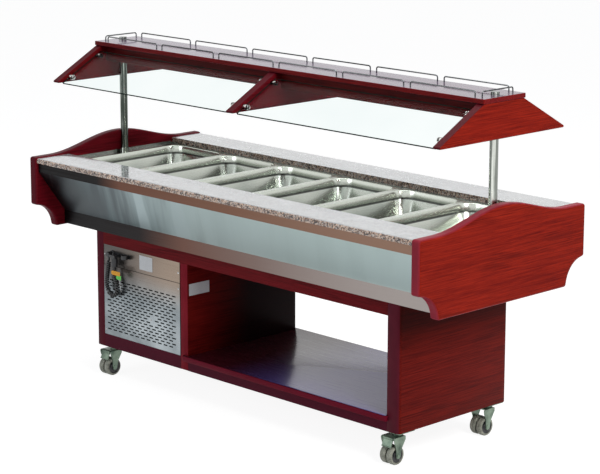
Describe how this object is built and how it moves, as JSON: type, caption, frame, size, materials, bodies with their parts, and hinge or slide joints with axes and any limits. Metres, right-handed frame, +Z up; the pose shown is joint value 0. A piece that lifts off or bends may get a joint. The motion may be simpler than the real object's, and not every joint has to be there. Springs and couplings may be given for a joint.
{
  "type": "mobile salad bar",
  "caption": "Wheeled chilled salad bar with pans in a well, stone counter strips, wooden end panels, a base cabinet with shelf and a canopy with glass guards on posts.",
  "frame": {"origin": "on the floor under the centre of the bar", "axes": "+X along the bar to the right seen from the front, -Y the front, +Z up"},
  "size_m": [2.11, 0.88, 1.3345],
  "materials": {
    "wood": "satin mahogany laminate with dark grain",
    "shelf": "glossy mahogany laminate",
    "stone": "polished pink, beige and black speckled granite",
    "steel": "brushed stainless steel",
    "foam": "rigid insulating foam",
    "copper": "copper pipe",
    "pipe": "grey plastic pipe",
    "sheet": "brushed stainless sheet with black slots",
    "machine": "black paint",
    "fins": "mill finish",
    "fan": "grey plastic",
    "control": "black plastic",
    "cord": "black jacket",
    "tag": "yellow and green card tags on white string",
    "plate": "blank white plate",
    "chrome": "polished steel tube and wire",
    "lamp": "white lamp tube",
    "glass": "clear toughened glass with green edges",
    "zinc": "grey-green plated zinc",
    "tyre": "grey non-marking tread, black hub"
  },
  "bodies": {
    "bar": {"end_panel_left": "wood", "end_panel_right": "wood", "granite_strips": "stone", "well_tub": "steel", "well_insulation": "foam", "fascias": "steel", "well_tray": "steel", "pan_bars": "steel", "evaporator_coil": "copper", "well_drain": "pipe", "base_end_left": "wood", "base_end_right": "wood", "base_divider": "wood", "base_rails": "wood", "base_shelf": "shelf", "base_bottom": "wood", "service_cover": "sheet", "service_grille": "sheet", "rear_panel": "sheet", "compressor": "machine", "condenser": "fins", "fan_motor": "machine", "control_box": "machine", "cord_gland": "cord", "power_cord": "cord", "cord_plug": "cord", "plug_holder": "control", "cord_tags": "tag", "blank_plates": "plate", "panel_screws": "steel", "posts": "chrome", "post_sockets": "chrome", "canopy_board": "wood", "canopy_beam": "wood", "canopy_lamps": "lamp", "canopy_wings": "wood", "centre_support": "wood", "glass_panes": "glass", "glass_clamps": "steel", "gallery_rails": "chrome", "caster_plates": "zinc"},
    "pan_1": {"pan_1": "steel"},
    "pan_2": {"pan_2": "steel"},
    "pan_3": {"pan_3": "steel"},
    "pan_4": {"pan_4": "steel"},
    "pan_5": {"pan_5": "steel"},
    "pan_6": {"pan_6": "steel"},
    "fan": {"fan_blades": "fan"},
    "rocker": {"power_rocker": "control"},
    "knob": {"thermostat_knob": "control"},
    "fork_fl": {"fork_fl": "zinc"},
    "wheels_fl": {"wheels_fl": "tyre"},
    "fork_fr": {"fork_fr": "zinc"},
    "wheels_fr": {"wheels_fr": "tyre"},
    "fork_bl": {"fork_bl": "zinc"},
    "wheels_bl": {"wheels_bl": "tyre"},
    "fork_br": {"fork_br": "zinc"},
    "wheels_br": {"wheels_br": "tyre"},
    "pedal_fl": {"brake_pedal_fl": "zinc"},
    "pedal_fr": {"brake_pedal_fr": "zinc"}
  },
  "joints": [
    {"name": "pan_1_lift", "type": "slide", "parent": "bar", "child": "pan_1", "axis": [0, 0, 1], "range_m": [0, 0.2]},
    {"name": "pan_2_lift", "type": "slide", "parent": "bar", "child": "pan_2", "axis": [0, 0, 1], "range_m": [0, 0.2]},
    {"name": "pan_3_lift", "type": "slide", "parent": "bar", "child": "pan_3", "axis": [0, 0, 1], "range_m": [0, 0.2]},
    {"name": "pan_4_lift", "type": "slide", "parent": "bar", "child": "pan_4", "axis": [0, 0, 1], "range_m": [0, 0.2]},
    {"name": "pan_5_lift", "type": "slide", "parent": "bar", "child": "pan_5", "axis": [0, 0, 1], "range_m": [0, 0.2]},
    {"name": "pan_6_lift", "type": "slide", "parent": "bar", "child": "pan_6", "axis": [0, 0, 1], "range_m": [0, 0.2]},
    {"name": "fan_spin", "type": "hinge", "parent": "bar", "child": "fan", "pos_m": [-0.59, -0.2125, 0.28], "axis": [0, 1, 0], "continuous": true},
    {"name": "rocker_tilt", "type": "hinge", "parent": "bar", "child": "rocker", "pos_m": [-0.37, 0.2875, 0.49], "axis": [1, 0, 0], "range_deg": [-9, 9]},
    {"name": "knob_turn", "type": "hinge", "parent": "bar", "child": "knob", "pos_m": [-0.44, 0.2955, 0.49], "axis": [0, 1, 0], "range_deg": [-270, 0]},
    {"name": "swivel_fl", "type": "hinge", "parent": "bar", "child": "fork_fl", "pos_m": [-0.78, -0.24, 0.11], "axis": [0, 0, 1], "continuous": true},
    {"name": "wheel_fl_spin", "type": "hinge", "parent": "fork_fl", "child": "wheels_fl", "pos_m": [-0.78, -0.27, 0.035], "axis": [1, 0, 0], "continuous": true},
    {"name": "swivel_fr", "type": "hinge", "parent": "bar", "child": "fork_fr", "pos_m": [0.78, -0.24, 0.11], "axis": [0, 0, 1], "continuous": true},
    {"name": "wheel_fr_spin", "type": "hinge", "parent": "fork_fr", "child": "wheels_fr", "pos_m": [0.78, -0.27, 0.035], "axis": [1, 0, 0], "continuous": true},
    {"name": "swivel_bl", "type": "hinge", "parent": "bar", "child": "fork_bl", "pos_m": [-0.78, 0.24, 0.11], "axis": [0, 0, 1], "continuous": true},
    {"name": "wheel_bl_spin", "type": "hinge", "parent": "fork_bl", "child": "wheels_bl", "pos_m": [-0.78, 0.21, 0.035], "axis": [1, 0, 0], "continuous": true},
    {"name": "swivel_br", "type": "hinge", "parent": "bar", "child": "fork_br", "pos_m": [0.78, 0.24, 0.11], "axis": [0, 0, 1], "continuous": true},
    {"name": "wheel_br_spin", "type": "hinge", "parent": "fork_br", "child": "wheels_br", "pos_m": [0.78, 0.21, 0.035], "axis": [1, 0, 0], "continuous": true},
    {"name": "brake_fl_press", "type": "hinge", "parent": "fork_fl", "child": "pedal_fl", "pos_m": [-0.78, -0.286, 0.096], "axis": [1, 0, 0], "range_deg": [0, 12]},
    {"name": "brake_fr_press", "type": "hinge", "parent": "fork_fr", "child": "pedal_fr", "pos_m": [0.78, -0.286, 0.096], "axis": [1, 0, 0], "range_deg": [0, 12]}
  ]
}
